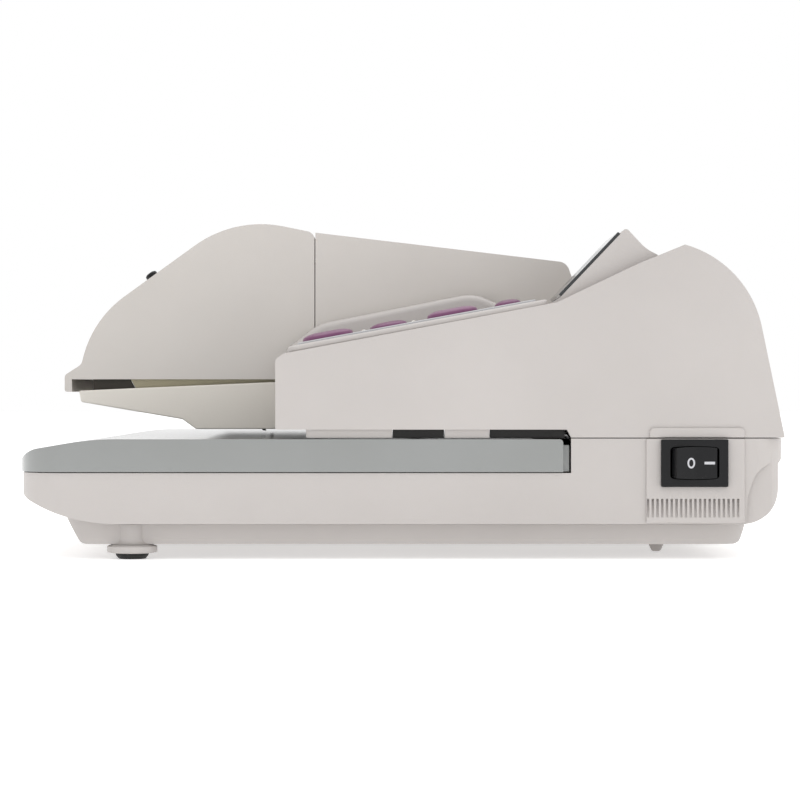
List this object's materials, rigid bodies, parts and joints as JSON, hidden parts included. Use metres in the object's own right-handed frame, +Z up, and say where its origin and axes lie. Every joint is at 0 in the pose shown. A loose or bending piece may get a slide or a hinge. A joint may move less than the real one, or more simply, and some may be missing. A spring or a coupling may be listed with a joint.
{
  "type": "banknote counting machine",
  "caption": "Compact desktop banknote counter with flip-up hopper lid, grey stacking tray, sloped key pod, angled display and side power rocker.",
  "frame": {"origin": "on the table, under the middle of the whole machine's outline", "axes": "+X to the operator's right, towards the control pod; +Y to the back; the operator stands at -Y; +Z up"},
  "size_m": [0.2538, 0.2426, 0.1088],
  "materials": {
    "white_plastic": "fine satin grain, warm light grey-white",
    "grey_plastic": "satin, mid grey",
    "keypad_grey": "matte, light grey membrane",
    "key_purple": "smooth silicone, muted purple",
    "indicator_white": "clear to milky lens",
    "black_rubber": "matte rubber",
    "black_plastic": "semi-gloss, near black",
    "pulley_plastic": "moulded acetal, off-white",
    "board_green": "solder-resist green",
    "smoked_window": "smoked clear acrylic",
    "steel": "bright ground steel",
    "zinc_plate": "zinc-plated sheet"
  },
  "bodies": {
    "chassis": {"base_shell": "white_plastic", "bottom_pan": "white_plastic", "front_foot_left": "white_plastic", "front_foot_right": "white_plastic", "rear_foot_left": "white_plastic", "rear_foot_right": "white_plastic", "pod_housing": "white_plastic", "panel_frame": "white_plastic", "display_hood": "white_plastic", "tower_housing": "white_plastic", "hopper_floor": "white_plastic", "stacker_tray": "grey_plastic", "keypad_sheet": "keypad_grey", "indicator_1": "indicator_white", "indicator_2": "indicator_white", "indicator_3": "indicator_white", "front_foot_pad_left": "black_rubber", "front_foot_pad_right": "black_rubber", "drive_belt": "black_rubber", "stacker_belt": "black_rubber", "pick_belt": "black_rubber", "switch_bezel": "black_plastic", "power_inlet": "black_plastic", "sensor_bar": "black_plastic", "key_board": "board_green", "display_board": "board_green", "main_board": "board_green", "display_window": "smoked_window", "lid_hinge_pin": "steel", "note_guide": "steel", "transfer_plate": "steel", "tie_bar_1": "steel", "frame_plate_left": "zinc_plate", "frame_plate_right": "zinc_plate", "motor": "zinc_plate", "transformer": "zinc_plate"},
    "lid": {"front_lid": "white_plastic", "lid_stop_stud": "black_plastic"},
    "rocker": {"rocker": "black_plastic"},
    "key_1": {"key_1": "key_purple"},
    "key_2": {"key_2": "key_purple"},
    "key_3": {"key_3": "key_purple"},
    "key_4": {"key_4": "key_purple"},
    "feed_roll": {"feed_shaft": "steel", "feed_roller_left": "black_rubber", "feed_roller_right": "black_rubber", "feed_pulley": "pulley_plastic", "link_pulley": "pulley_plastic"},
    "pick_roll": {"pick_shaft": "steel", "pick_roller_left": "black_rubber", "pick_roller_right": "black_rubber", "pick_pulley": "pulley_plastic"},
    "stacker": {"stacker_shaft": "steel", "stacker_wheel_left": "black_plastic", "stacker_wheel_right": "black_plastic", "stacker_pulley": "pulley_plastic"},
    "retard_roll": {"retard_shaft": "steel", "retard_roller_left": "black_rubber", "retard_roller_right": "black_rubber"},
    "motor_rotor": {"motor_pulley": "steel"}
  },
  "joints": [
    {"name": "lid_hinge", "type": "hinge", "parent": "chassis", "child": "lid", "pos_m": [-0.00205, -0.03125, 0.1031], "axis": [-1, 0, 0], "range_deg": [0, 80]},
    {"name": "rocker_tilt", "type": "hinge", "parent": "chassis", "child": "rocker", "pos_m": [0.12235, 0.09275, 0.0304], "axis": [0, 0, -1], "range_deg": [0, 20]},
    {"name": "key_1_press", "type": "slide", "parent": "chassis", "child": "key_1", "axis": [0, 0.1805, -0.9836], "range_m": [0, 0.0012], "stiffness_N_per_m": 350},
    {"name": "key_2_press", "type": "slide", "parent": "chassis", "child": "key_2", "axis": [0, 0.1805, -0.9836], "range_m": [0, 0.0012], "stiffness_N_per_m": 350},
    {"name": "key_3_press", "type": "slide", "parent": "chassis", "child": "key_3", "axis": [0, 0.1805, -0.9836], "range_m": [0, 0.0012], "stiffness_N_per_m": 350},
    {"name": "key_4_press", "type": "slide", "parent": "chassis", "child": "key_4", "axis": [0, 0.1805, -0.9836], "range_m": [0, 0.0012], "stiffness_N_per_m": 350},
    {"name": "feed_spin", "type": "hinge", "parent": "chassis", "child": "feed_roll", "pos_m": [-0.00205, 0.00735, 0.048], "axis": [1, 0, 0], "continuous": true},
    {"name": "pick_spin", "type": "hinge", "parent": "chassis", "child": "pick_roll", "pos_m": [-0.00205, -0.06465, 0.0489], "axis": [1, 0, 0], "continuous": true},
    {"name": "stacker_spin", "type": "hinge", "parent": "chassis", "child": "stacker", "pos_m": [-0.00205, -0.04665, 0.0464], "axis": [1, 0, 0], "continuous": true},
    {"name": "retard_spin", "type": "hinge", "parent": "chassis", "child": "retard_roll", "pos_m": [-0.00205, 0.00435, 0.0662], "axis": [1, 0, 0], "continuous": true},
    {"name": "motor_spin", "type": "hinge", "parent": "chassis", "child": "motor_rotor", "pos_m": [-0.00205, 0.08135, 0.06], "axis": [1, 0, 0], "continuous": true}
  ],
  "couplings": [
    {"joint": "pick_spin", "follows": "feed_spin", "ratio": 1},
    {"joint": "stacker_spin", "follows": "feed_spin", "ratio": 1},
    {"joint": "motor_spin", "follows": "feed_spin", "ratio": 1}
  ]
}
